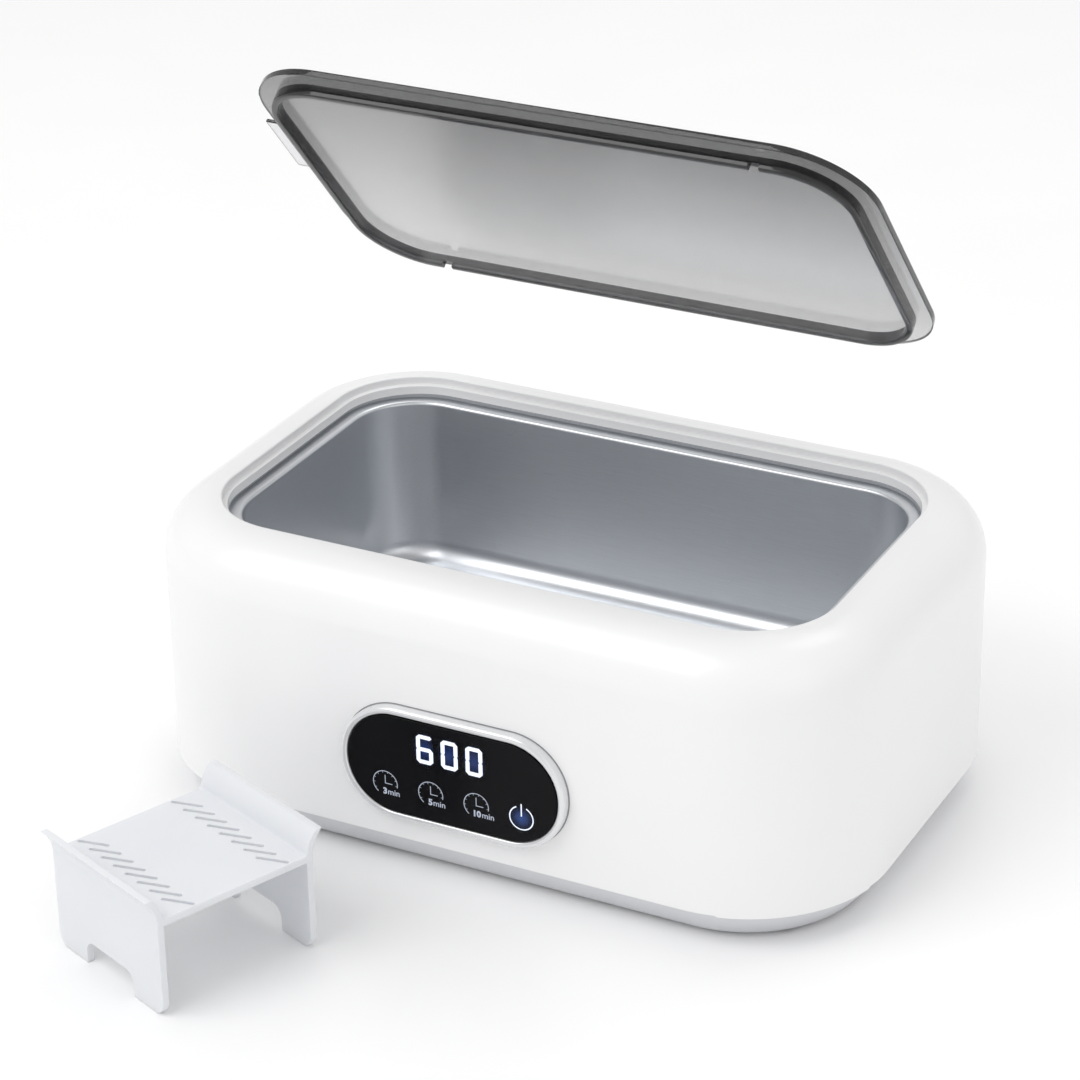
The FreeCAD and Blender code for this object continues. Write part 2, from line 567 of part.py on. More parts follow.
def makeDriver():
    """Driver board on its standoffs, with the parts that stand on it."""
    board = block("driverBlank", "driver_length", "driver_width", "board_sheet", driverCentre,
                  "0", driverLevel)
    corners = fourCorners(driverPostAcross, driverPostAlong)
    corners = [("%s + %s" % (driverCentre, across), along) for across, along in corners]
    holes = [cylinder("driverHole%d" % n, "small_screw_radius + screw_slack", "3*board_sheet", across,
                      along, driverLevel + " - board_sheet")
             for n, (across, along) in enumerate(corners)]
    board = cut("driver_board", board, fused("driverHoles", holes))
    screws = makeScrews("driver_board_screws", corners, driverTop, smallScrew, up=-1)
    across, along = driverCentre + " + transformer_across", "transformer_along"
    core = block("transformerCore", "core_length", "core_width", "core_height", across, along,
                 driverTop)
    coil = block("transformerCoil", "coil_length", "coil_width", "coil_height", across, along,
                 driverTop)
    ring = doc.addObject("Part::Torus", "inductorRing")
    bind(ring, "Radius1", "choke_radius")
    bind(ring, "Radius2", "choke_wire")
    place(ring, driverCentre + " + choke_across", "-choke_along", driverTop + " + choke_wire")
    pad = cylinder("inductorSeat", "choke_radius", "choke_wire", driverCentre + " + choke_across",
                   "-choke_along", driverTop)
    sizes = [("large_can_radius", "large_can_height"), ("large_can_radius", "large_can_height"),
             ("small_can_radius", "small_can_height")]
    cans = [cylinder("capacitor%d" % n, radius, tall, driverCentre + " - can_across",
                     "can_along - %d*can_pitch" % n, driverTop)
            for n, (radius, tall) in enumerate(sizes)]
    face = driverCentre + " - sink_across"
    fins = [block("heatSinkBase", "sink_sheet", "sink_width", "sink_height", face,
                  "-sink_along", driverTop)]
    fins += [block("heatSinkFin%d" % n, "fin_length", "fin_sheet", "sink_height",
                   face + " + (sink_sheet + fin_length)/2 - fin_sheet/2",
                   "-sink_along + (%d)*fin_pitch" % n, driverTop) for n in range(-2, 3)]
    switches = [block("switch%d" % n, "switch_sheet", "switch_width", "switch_height",
                      face + " - (sink_sheet + switch_sheet)/2",
                      "-sink_along + (%d)*switch_spacing/2" % side, driverTop)
                for n, side in enumerate((-1, 1))]
    return [board, screws, fused("driver_transformer", [core, coil]),
            fused("driver_inductor", [ring, pad]), group("driver_capacitors", cans),
            fused("heat_sink", fins), group("driver_transistors", switches)]


def makeInlet():
    """Two-pin mains inlet let into the rear wall."""
    body = newBody("power_inlet")
    rear = "-body_width/2"

    def inletSketch(name, out):
        return newSketch(body, name, "XZ_Plane", right="inlet_offset", up="inlet_level",
                         out=out)
    flange = inletSketch("inletFlange", rear)
    drawRoundedBox(flange, "inlet_flange_length", "inlet_flange_height", "inlet_round")
    extrude(body, "Pad", flange, "inlet_flange_sheet", reverse=True)
    barrel = inletSketch("inletBarrel", rear)
    drawRoundedBox(barrel, "inlet_length", "inlet_height", "inlet_round")
    extrude(body, "Pad", barrel, "inlet_depth")
    socket = inletSketch("inletSocket", rear + " - inlet_flange_sheet")
    drawRoundedBox(socket, "inlet_length - 2*inlet_wall", "inlet_height - 2*inlet_wall",
                   "inlet_round - inlet_wall/2")
    extrude(body, "Pocket", socket, "pin_length + inlet_flange_sheet + inlet_wall",
            reverse=True)
    pins = inletSketch("inletPins", rear + " + inlet_depth - 1")
    drawCircles(pins, "pin_radius", [("pin_spacing/2", "0"), ("-pin_spacing/2", "0")])
    extrude(body, "Pad", pins, "inlet_depth - 2", reverse=True)
    return body


def makeLeads(label, routes, radius):
    """Round leads: straight runs joined by arcs about each inner point."""
    solids = []
    for route in routes:
        points = [Vector(*[number(part) for part in point]) for point in route]
        edges, start = [], points[0]
        for before, corner, after in zip(points, points[1:], points[2:]):
            into = (corner - before).normalize()
            out = (after - corner).normalize()
            reach = 0.4*min((corner - before).Length, (after - corner).Length)
            entry, leave = corner - into*reach, corner + out*reach
            half = math.acos(max(-1, min(1, into.dot(out))))/2
            bend = reach/math.tan(half)
            inward = (out - into).normalize()
            centre = corner + inward*(bend/math.cos(half))
            middle = centre - inward*bend
            edges += [Part.LineSegment(start, entry).toShape(),
                      Part.Arc(entry, middle, leave).toShape()]
            start = leave
        edges.append(Part.LineSegment(start, points[-1]).toShape())
        path = Part.Wire(edges)
        section = Part.Wire(Part.Circle(points[0], points[1] - points[0],
                                        number(radius)).toShape())
        solids.append(path.makePipeShell([section], True, False))
    node = doc.addObject("Part::Feature", label)
    node.Label = label
    node.Shape = Part.makeCompound(solids)
    node.Placement = Placement()
    return node


def makeWiring():
    """Leads from inlet to driver, driver to transducer, and driver to panel board."""
    edge = driverCentre + " + driver_length/2"
    inletBack = "body_width/2 - inlet_depth"
    touch = driverTop + " + lead_radius"
    power = [[("inlet_offset + %d*pin_spacing/2" % sign, inletBack, "inlet_level"),
              ("inlet_offset + %d*pin_spacing/2" % sign, inletBack + " - lead_exit",
               "inlet_level"),
              ("inlet_offset - lead_shift + %d*lead_spread" % sign, inletBack + " - lead_sweep",
               "lead_level"),
              (edge + " + lead_approach", along, "lead_level - 0.5*lead_radius"),
              (edge + " - power_pad_inset", along, touch)]
             for sign, along in ((1, "power_pad_along"), (-1, "power_pad_along + lead_pitch"))]
    under = tankFloorLevel + " - plate_height - disc_height"
    drive = [[("-disc_pad_across", along, under), ("-disc_pad_across", along,
                                                   under + " - lead_exit"),
              ("-3*disc_pad_across", along, driverTop + " + lead_rise"),
              (edge + " - drive_pad_inset", along, touch)]
             for along in ("-drive_pad_along", "-drive_pad_along + lead_pitch")]
    rear = "board_sheet - %s" % panelBoardFace
    socket = edge + " - cable_pad_inset"
    level = "panel_level - cable_drop"
    signal = [[("-cable_across", rear, level), ("-cable_across", rear + " + lead_exit", level),
               ("-cable_across - lead_rise", rear + " + cable_sweep", "cable_level"),
               (socket, "-cable_pad_along", driverTop + " + lead_exit"),
               (socket, "-cable_pad_along", driverTop)]]
    return [makeLeads("power_leads", power, "lead_radius"),
            makeLeads("transducer_leads", drive, "lead_radius"),
            makeLeads("panel_cable", signal, "lead_radius")]


def makeLid():
    """Clear smoke lid: flat flange, a raised lip below it, a finger tab and two drip notches."""
    body = newBody("lid_cover")
    length = "(%s - 2*lid_gap)" % openingLength
    width = "(%s - 2*lid_gap)" % openingWidth
    turn = "(opening_round - lid_gap)"
    flange = newSketch(body, "lidFlange")
    drawRoundedBox(flange, length, width, turn)
    extrude(body, "Pad", flange, "lid_sheet")
    roundEdges(body, "lidEdge", "lid_edge_round", flatAt(values["lid_sheet"]))
    lip = newSketch(body, "lidLip")
    for inset in ("lip_margin", "(lip_margin + lip_wall)"):
        drawRoundedBox(lip, "%s - 2*%s" % (length, inset), "%s - 2*%s" % (width, inset),
                       "%s - %s" % (turn, inset))
    extrude(body, "Pad", lip, "lip_depth", reverse=True)
    roundEdges(body, "lipEdge", "lid_edge_round", flatAt(-values["lip_depth"]))
    root = newSketch(body, "tabRoot", right="-%s/2 + tab_root/2" % length,
                     up="tab_place", out="lid_sheet - 0.4")
    drawRoundedBox(root, "tab_root", "tab_length", "tab_root/3")
    extrude(body, "Pad", root, "tab_height + 0.4")
    tab = newSketch(body, "tabEnd", right="-%s/2 + (tab_root - tab_proud)/2" % length,
                    up="tab_place", out="lid_sheet + tab_lift")
    drawRoundedBox(tab, "tab_root + tab_proud", "tab_length", "tab_root/3")
    extrude(body, "Pad", tab, "tab_height - tab_lift")
    for name, side, sign in (("rearNotch", "-", ""), ("frontNotch", "", "-")):
        notch = newSketch(body, name, right=side + "notch_place", out="-lip_depth",
                          up="%s(%s/2 - lip_margin - lip_wall/2)" % (sign, width))
        drawRoundedBox(notch, "notch_width", "3*lip_wall", "0.3")
        extrude(body, "Pocket", notch, "notch_depth", reverse=True)
    pole = Vector(0, values["pole_back"], values["pole_level"])
    seated = Placement(Vector(0, 0, number(ledgeLevel) + values["lid_rest_gap"]), Rotation())
    swing = Placement(Vector(), Rotation(Vector(1, 0, 0), -values["lid_tilt"]), pole)
    body.Placement = swing.multiply(seated)
    return body


def makeStand():
    """Clear white bridge that holds a watch: two legs with arches, a slotted deck, two wings."""
    body = newBody("watch_stand")
    width, height = number("stand_width"), number("stand_height")
    wall, rise, flare = number("stand_wall"), number("wing_rise"), number("wing_flare")
    section = newSketch(body, "standSection", "XZ_Plane")
    tip = Vector(-flare, height + rise, 0)
    left = [Vector(wall, height - wall, 0), Vector(wall, 0, 0), Vector(0, 0, 0),
            Vector(0, height, 0), tip, Vector(wall - flare, height + rise, 0),
            Vector(wall, height, 0)]
    right = [Vector(width - point.x, point.y, 0) for point in reversed(left)]
    outline = left + right
    for start, end in zip(outline, outline[1:] + outline[:1]):
        bend = (abs(start.x - end.x) > 1 and abs(start.y - end.y) > 1)
        if bend:
            side = 1 if start.x > width/2 else -1
            sag = Vector(-side*flare*0.22, 0, 0)
            middle = (start + end)*0.5 + sag
            section.addGeometry(Part.Arc(start, middle, end), False)
        else:
            section.addGeometry(Part.LineSegment(start, end), False)
    extrude(body, "Pad", section, "stand_length", reverse=True)
    roundEdges(body, "legCorners", "leg_round",
               lambda box: box.ZMax < 0.01 and box.YMax - box.YMin < 0.01)
    arch = newSketch(body, "standArch", "YZ_Plane", right="stand_length/2", out="-1")
    drawRoundedBox(arch, "arch_length", "2*arch_height", "arch_round")
    extrude(body, "Pocket", arch, "stand_width + 2", reverse=True)
    for name, across in (("slotLeft", "slot_inset"), ("slotRight", "stand_width - slot_inset")):
        slot = newSketch(body, name, right=across, up="stand_length/2 - 3.5*slot_pitch",
                         out="stand_height", turn=-values["slot_turn"])
        drawRoundedBox(slot, "slot_length", "slot_width", "slot_round")
        cutSlot = extrude(body, "Pocket", slot, "2*stand_wall")
        row = body.newObject("PartDesign::LinearPattern", name + "Row")
        row.Originals = [cutSlot]
        along = next(item for item in body.Origin.OriginFeatures if item.Role == "Y_Axis")
        row.Direction = (along, [""])
        bind(row, "Length", "7*slot_pitch")
        row.Occurrences = 8
        body.Tip = row
        doc.recompute()
    corner = Vector(values["stand_place_across"], -values["stand_place_front"], 0)
    body.Placement = Placement(corner, Rotation(Vector(0, 0, 1), 90 - values["stand_turn"]))
    return body


nodes = [makeHousing(), makeBaseTray(), makeFeet(), makeBaseScrews(), makeTank(),
         makeTankSeal(), makeTankClamps(),
         makeScrews("tank_clamp_screws", fourCorners("clamp_spacing", clampAlong),
                    clampLevel + " - clamp_sheet", smallScrew),
         makeBezel(), makeLens(), makeDisplay(), makeKeyPads(), makePanelBoard(),
         makePanelScrews()]
nodes += makeTransducer()
nodes += makeDriver()
nodes.append(makeInlet())
nodes += makeWiring()
nodes += [makeLid(), makeStand()]

doc.recompute()
for item in doc.Objects:
    assert not {"Invalid", "Error"} & set(item.State), "%s failed: %s" % (item.Label, item.State)
os.makedirs("parts", exist_ok=True)
for node in nodes:
    shape = node.Shape
    assert not shape.isNull() and shape.isValid(), "%s has a bad shape" % node.Label
    assert all(solid.isClosed() for solid in shape.Solids) and shape.Solids, node.Label
    print("%-22s %d solid(s) %10.1f mm3" % (node.Label, len(shape.Solids), shape.Volume))
    shape.exportStep("parts/%s.step" % node.Label)
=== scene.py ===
import json
import math

import bmesh
import bpy
from mathutils import Matrix, Vector


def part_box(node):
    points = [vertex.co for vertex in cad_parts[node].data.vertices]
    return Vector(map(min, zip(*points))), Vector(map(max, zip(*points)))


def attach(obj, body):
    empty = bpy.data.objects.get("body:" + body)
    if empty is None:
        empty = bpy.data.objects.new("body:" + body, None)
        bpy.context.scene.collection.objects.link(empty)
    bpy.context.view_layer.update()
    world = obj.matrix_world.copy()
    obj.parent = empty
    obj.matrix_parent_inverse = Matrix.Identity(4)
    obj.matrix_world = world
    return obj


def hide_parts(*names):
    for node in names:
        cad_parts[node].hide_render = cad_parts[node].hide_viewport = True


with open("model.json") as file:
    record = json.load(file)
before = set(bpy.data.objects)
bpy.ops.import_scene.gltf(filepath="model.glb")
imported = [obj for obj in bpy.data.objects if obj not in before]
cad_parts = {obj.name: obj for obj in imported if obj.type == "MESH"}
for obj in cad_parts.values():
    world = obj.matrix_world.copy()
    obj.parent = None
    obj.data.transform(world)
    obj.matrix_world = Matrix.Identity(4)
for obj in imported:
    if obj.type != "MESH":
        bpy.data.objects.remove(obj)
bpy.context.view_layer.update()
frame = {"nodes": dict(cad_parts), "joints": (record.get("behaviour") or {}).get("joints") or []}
mm = 0.001
scene = bpy.context.scene
nodes = frame["nodes"]
print("frame loaded:", len(nodes), "nodes")


def toLinear(hexText):
    channels = [int(hexText[i:i + 2], 16) / 255 for i in (0, 2, 4)]
    return [c / 12.92 if c <= 0.04045 else ((c + 0.055) / 1.055) ** 2.4 for c in channels] + [1]


def addNode(tree, kind, settings=None, links=None):
    node = tree.nodes.new(kind)
    for name, value in (settings or {}).items():
        if isinstance(name, int) or name in node.inputs:
            node.inputs[name].default_value = value
        else:
            setattr(node, name, value)
    for name, source in (links or {}).items():
        tree.links.new(source, node.inputs[name])
    return node


def newMaterial(name, settings):
    material = bpy.data.materials.new(name)
    material.use_nodes = True
    tree = material.node_tree
    shader = tree.nodes["Principled BSDF"]
    for socket, value in settings.items():
        shader.inputs[socket].default_value = value
    return material, tree, shader


def grainTexture(tree, sizeMm, stretch=(1, 1, 1), detail=2.0):
    # noise on object coordinates, about sizeMm from one blob to the next
    place = addNode(tree, "ShaderNodeTexCoord")
    turn = addNode(tree, "ShaderNodeMapping", {"Scale": stretch},
                   {"Vector": place.outputs["Object"]})
    return addNode(tree, "ShaderNodeTexNoise", {"Scale": 1000 / sizeMm, "Detail": detail},
                   {"Vector": turn.outputs["Vector"]})


def mixColours(tree, shader, factor, first, second, socket="Base Color"):
    mix = addNode(tree, "ShaderNodeMix", {"data_type": "RGBA", 6: toLinear(first),
                                          7: toLinear(second)}, {0: factor})
    tree.links.new(mix.outputs[2], shader.inputs[socket])


def spreadRoughness(tree, shader, factor, low, high):
    spread = addNode(tree, "ShaderNodeMapRange", {"To Min": low, "To Max": high},
                     {"Value": factor})
    tree.links.new(spread.outputs["Result"], shader.inputs["Roughness"])


def addBump(tree, shader, height, depthMm, strength=1.0):
    bump = addNode(tree, "ShaderNodeBump", {"Distance": depthMm * mm, "Strength": strength},
                   {"Height": height})
    tree.links.new(bump.outputs["Normal"], shader.inputs["Normal"])


def mouldedPlastic(name, light, dark, roughness, grainMm=0.35, settings=None):
    # ABS from a polished or lightly etched tool: even colour, a fine grain, soft highlights
    base = {"IOR": 1.53, "Roughness": roughness}
    base.update(settings or {})
    material, tree, shader = newMaterial(name, base)
    broad = grainTexture(tree, 28, detail=1.0)
    mixColours(tree, shader, broad.outputs["Fac"], light, dark)
    fine = grainTexture(tree, grainMm)
    spreadRoughness(tree, shader, fine.outputs["Fac"], roughness * 0.85, roughness * 1.2)
    addBump(tree, shader, fine.outputs["Fac"], 0.006)
    return material


def brushedSteel(name, light, dark, roughness, along=(1, 40, 40), grainMm=9.0):
    # stainless sheet with a directional satin, so highlights smear across the grain
    material, tree, shader = newMaterial(name, {"Metallic": 1.0, "Roughness": roughness})
    grain = grainTexture(tree, grainMm, along, 4.0)
    mixColours(tree, shader, grain.outputs["Fac"], light, dark)
    spreadRoughness(tree, shader, grain.outputs["Fac"], roughness * 0.75, roughness * 1.35)
    addBump(tree, shader, grain.outputs["Fac"], 0.012)
    return material


def smokeClearPaintedShade(name, light, dark, roughness, lowMm=108, highMm=196):
    # tinted polycarbonate: a lightly hazed smoke sheet, with painted shade that darkens it higher
    # up, towards the front edge
    material, tree, shader = newMaterial(name, {"IOR": 1.58, "Roughness": roughness,
                                                "Transmission Weight": 1.0,
                                                "Specular IOR Level": 0.35})
    place = addNode(tree, "ShaderNodeTexCoord")
    split = addNode(tree, "ShaderNodeSeparateXYZ", {}, {"Vector": place.outputs["Object"]})
    rise = addNode(tree, "ShaderNodeMapRange", {"From Min": lowMm * mm, "From Max": highMm * mm},
                   {"Value": split.outputs["Z"]})
    mixColours(tree, shader, rise.outputs["Result"], light, dark)
    return material


def ledLight(name, core, edge, strength):
    # diffused light behind black acrylic: a little uneven from one spot to the next
    material, tree, shader = newMaterial(name, {"Emission Strength": strength, "Roughness": 0.4,
                                                "Base Color": toLinear("202430")})
    grain = grainTexture(tree, 1.4, detail=1.0)
    mixColours(tree, shader, grain.outputs["Fac"], core, edge, "Emission Color")
    return material


def ledHaze(name, colour, strength):
    # light that leaks round a symbol inside the acrylic: strongest in the middle, gone at the edge
    material, tree, shader = newMaterial(name, {"Emission Strength": strength, "Roughness": 0.12,
                                                "Base Color": toLinear("050608")})
    fade = addNode(tree, "ShaderNodeAttribute", {"attribute_name": "fade"})
    curve = addNode(tree, "ShaderNodeMath", {"operation": "POWER", 1: 1.6},
                    {0: fade.outputs["Fac"]})
    mixColours(tree, shader, curve.outputs["Value"], "000000", colour, "Emission Color")
    tree.links.new(curve.outputs["Value"], shader.inputs["Alpha"])
    return material


def circuitBoard(name):
    # solder mask over copper: dark green with slightly lighter tracks
    material, tree, shader = newMaterial(name, {"Roughness": 0.4, "IOR": 1.5})
    place = addNode(tree, "ShaderNodeTexCoord")
    tracks = addNode(tree, "ShaderNodeTexBrick", {"Scale": 1000 / 12},
                     {"Vector": place.outputs["Object"]})
    mixColours(tree, shader, tracks.outputs["Fac"], "0f4a2a", "1d6a3c")
    return material


finishes = {
    "whiteAbs": mouldedPlastic("whiteGlossAbs", "f6f6f6", "f3f3f4", 0.30,
                               settings={"Coat Weight": 0.25, "Coat Roughness": 0.12}),
    "greyAbs": mouldedPlastic("greyMouldedAbs", "dcdde0", "d4d5d9", 0.42),
    # dark grey for the strip that paints the shadow in the gap round the bezel
    "paintedSeamShade": mouldedPlastic("shadowedPartingLine", "8f9194", "7c7e82", 0.6),
    "bezel": mouldedPlastic("silverWhiteLacquer", "eeeeef", "dcdddf", 0.2,
                            settings={"Metallic": 0.55, "Coat Weight": 0.6,
                                      "Coat Roughness": 0.06}),
    "blackAcrylic": mouldedPlastic("polishedBlackAcrylic", "0b0b0d", "111114", 0.07, 0.8,
                                   {"Specular IOR Level": 0.1, "IOR": 1.49}),
    "blackPlastic": mouldedPlastic("blackMouldedNylon", "141416", "1d1d20", 0.5),
    "rubber": mouldedPlastic("mattBlackRubber", "17171a", "222225", 0.8, 0.6),
    "silicone": mouldedPlastic("darkSilicone", "3a3b3f", "2b2c30", 0.6, 0.6),
    "stainless": brushedSteel("brushedStainless", "dfe1e4", "cfd2d6", 0.3),
    "zincSteel": brushedSteel("zincPlatedSteel", "c0c2c6", "9a9ca0", 0.3, (1, 1, 1), 0.8),
    "aluminium": brushedSteel("turnedAluminium", "d2d3d6", "b4b5b8", 0.32, (30, 30, 1), 3.0),
    "piezo": mouldedPlastic("silveredPiezoCeramic", "a99f8c", "c6c0b2", 0.45),
    "ferrite": mouldedPlastic("ferriteAndTape", "2b2b2d", "3c3a36", 0.5),
    "copper": brushedSteel("enamelledCopperWire", "c9713c", "7f3f1d", 0.3, (1, 1, 12), 2.0),
    "leadPvc": mouldedPlastic("redPvcLead", "8f1d18", "741512", 0.45),
    "board": circuitBoard("solderMaskedBoard"),
    "stand": mouldedPlastic("frostedWhiteAcrylic", "e6e8eb", "dee0e5", 0.32, 2.5,
                            {"Subsurface Weight": 0.3, "Subsurface Radius": (0.004, 0.004, 0.005),
                             "Subsurface Scale": 1.0}),
    "smokeSheet": smokeClearPaintedShade("smokePolycarbonate", "f2f2f2", "8c8c8c", 0.16),
    # the lid sheet again, darker on the lip and edge bevels as painted shade, lighter on the outer
    # sides as painted light
    "smokeLipPaintedShade": smokeClearPaintedShade("smokePolycarbonateLipPaintedShade", "5c5c5e", "262628", 0.05),
    "smokeEdgePaintedLight": smokeClearPaintedShade("smokePolycarbonateEdgePaintedLight", "d2d2d4", "b0b0b2", 0.05),
    "clearTab": smokeClearPaintedShade("clearPolycarbonateTab", "f2f2f3", "e2e2e4", 0.05),
    "paleSilicone": mouldedPlastic("paleSilicone", "a9acb1", "9b9ea3", 0.5, 0.6),
    "ledWhite": ledLight("whiteDigitLight", "f4f8ff", "dce8ff", 1.25),
    # white printed legends and timer symbols, given a painted glow
    "legendPaintedGlow": ledLight("printedLegendPaintedGlow", "dfe6f2", "b8c4da", 0.7),
    "ledHaze": ledHaze("blueLightHaze", "0c54b4", 0.42),
    "ledFaint": ledHaze("faintBlueLightHaze", "0c54c8", 0.2),
}
print("materials made:", len(finishes))
cadFinish = {
    "base_tray": "greyAbs", "rubber_feet": "rubber", "base_screws": "zincSteel",
    "tank_seal": "paleSilicone", "tank_clamps": "zincSteel", "tank_clamp_screws": "zincSteel",
    "display_module": "blackPlastic", "key_pads": "silicone", "panel_board": "board",
    "panel_board_screws": "zincSteel", "transducer_plate": "aluminium",
    "transducer_disc": "piezo", "driver_board": "board", "driver_board_screws": "zincSteel",
    "driver_transformer": "ferrite", "driver_inductor": "copper",
    "driver_capacitors": "blackPlastic", "heat_sink": "aluminium",
    "driver_transistors": "blackPlastic", "power_inlet": "blackPlastic",
    "power_leads": "leadPvc", "transducer_leads": "leadPvc", "panel_cable": "leadPvc",
    "panel_lens": "blackAcrylic",
}
for node, finish in cadFinish.items():
    nodes[node].data.materials.clear()
    nodes[node].data.materials.append(finishes[finish])


def roundedPlate(bm, length, width, radius, segments, level=0.0):
    made = bmesh.ops.create_grid(bm, x_segments=1, y_segments=1, size=0.5)["verts"]
    bmesh.ops.scale(bm, vec=(length, width, 1), verts=made)
    bmesh.ops.translate(bm, vec=(0, 0, level), verts=made)
    face = made[0].link_faces[0]
    before = set(bm.faces) - {face}
    bmesh.ops.bevel(bm, geom=made, offset=radius, segments=segments, profile=0.5,
                    affect="VERTICES", material=-1, clamp_overlap=False)
    return next(f for f in bm.faces if f not in before)


def extrudeFace(bm, face, shift):
    made = bmesh.ops.extrude_discrete_faces(bm, faces=[face])["faces"][0]
    bmesh.ops.translate(bm, vec=shift, verts=made.verts)
    return made


def insetFace(bm, face, amount):
    ring = bmesh.ops.inset_region(bm, faces=[face], thickness=amount, use_even_offset=True,
                                  use_boundary=True)["faces"]
    return face, ring


def edgesAt(bm, level, halfLength=1e6, halfWidth=1e6, outside=False):
    found = []
    for edge in bm.edges:
        if all(abs(v.co.z - level) < 1e-3 for v in edge.verts):
            inner = all(abs(v.co.x) < halfLength and abs(v.co.y) < halfWidth for v in edge.verts)
            if inner != outside:
                found.append(edge)
    return found


def sharpOnly(edges, limit=20):
    least = math.radians(limit)
    return [e for e in edges if len(e.link_faces) == 2 and e.calc_face_angle() > least]


def softenEdges(bm, edges, offset, segments):
    bmesh.ops.bevel(bm, geom=edges, offset=offset, segments=segments, profile=0.5,
                    affect="EDGES", material=-1, clamp_overlap=True)


def finishPiece(name, bm, body, materials, move=None, replaced=None, sharp=40,
                weighted=True):
    # one object at the origin, in metres, riding on a body
    bmesh.ops.remove_doubles(bm, verts=bm.verts, dist=1e-4)
    bmesh.ops.scale(bm, vec=(mm, mm, mm), verts=bm.verts)
    if move is not None:
        bmesh.ops.transform(bm, matrix=move, verts=bm.verts)
    mesh = bpy.data.meshes.new(name)
    bm.to_mesh(mesh)
    bm.free()
    for material in materials:
        mesh.materials.append(finishes[material])
    piece = bpy.data.objects.new(name, mesh)
    scene.collection.objects.link(piece)
    mesh.shade_smooth()
    mesh.set_sharp_from_angle(angle=math.radians(sharp))
    if weighted:
        piece.modifiers.new("weighted", "WEIGHTED_NORMAL").keep_sharp = True
    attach(piece, body)
    if replaced:
        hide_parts(replaced)
    return piece


def carve(bm, cutters):
    # subtract closed cutter meshes, all in millimetres
    base = bpy.data.meshes.new("carveBase")
    bm.to_mesh(base)
    bm.free()
    target = bpy.data.objects.new("carveBase", base)
    scene.collection.objects.link(target)
    helpers = []
    for cutter in cutters:
        mesh = bpy.data.meshes.new("cutter")
        cutter.to_mesh(mesh)
        cutter.free()
        helper = bpy.data.objects.new("cutter", mesh)
        scene.collection.objects.link(helper)
        helpers.append(helper)
        cut = target.modifiers.new("cut", "BOOLEAN")
        cut.object, cut.operation, cut.solver = helper, "DIFFERENCE", "EXACT"
    bpy.context.view_layer.update()
    result = bmesh.new()
    evaluated = target.evaluated_get(bpy.context.evaluated_depsgraph_get())
    result.from_mesh(evaluated.to_mesh())
    evaluated.to_mesh_clear()
    for item in [target] + helpers:
        bpy.data.objects.remove(item)
    return result


def boxCutter(size, centre, turn=0.0, edge=0.0):
    bm = bmesh.new()
    verts = bmesh.ops.create_cube(bm, size=1.0)["verts"]
    bmesh.ops.scale(bm, vec=size, verts=verts)
    if edge:
        upright = [e for e in bm.edges if abs(e.verts[0].co.z - e.verts[1].co.z) > 1e-6]
        bmesh.ops.bevel(bm, geom=upright, offset=edge, segments=5, profile=0.5, affect="EDGES",
                        material=-1)
    bmesh.ops.rotate(bm, cent=(0, 0, 0), matrix=Matrix.Rotation(math.radians(turn), 3, "Z"),
                     verts=bm.verts)
    bmesh.ops.translate(bm, vec=centre, verts=bm.verts)
    return bm


def sizeOf(node):
    low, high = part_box(node)
    return low / mm, high / mm


housing = {"cornerRound": 40.5, "shoulder": 15.4, "rimSides": 16.2,
           "recess": 2.3, "ledge": 1.4, "roof": 4.8, "wall": 2.6, "edge": 0.45, "seamEdge": 0.7,
           "neckShare": 0.93, "neckDrop": 16, "ledgeEdgeShare": 0.7,
           "inletHole": (20.2, 30, 11.2), "cornerSteps": 28, "shoulderSteps": 12}


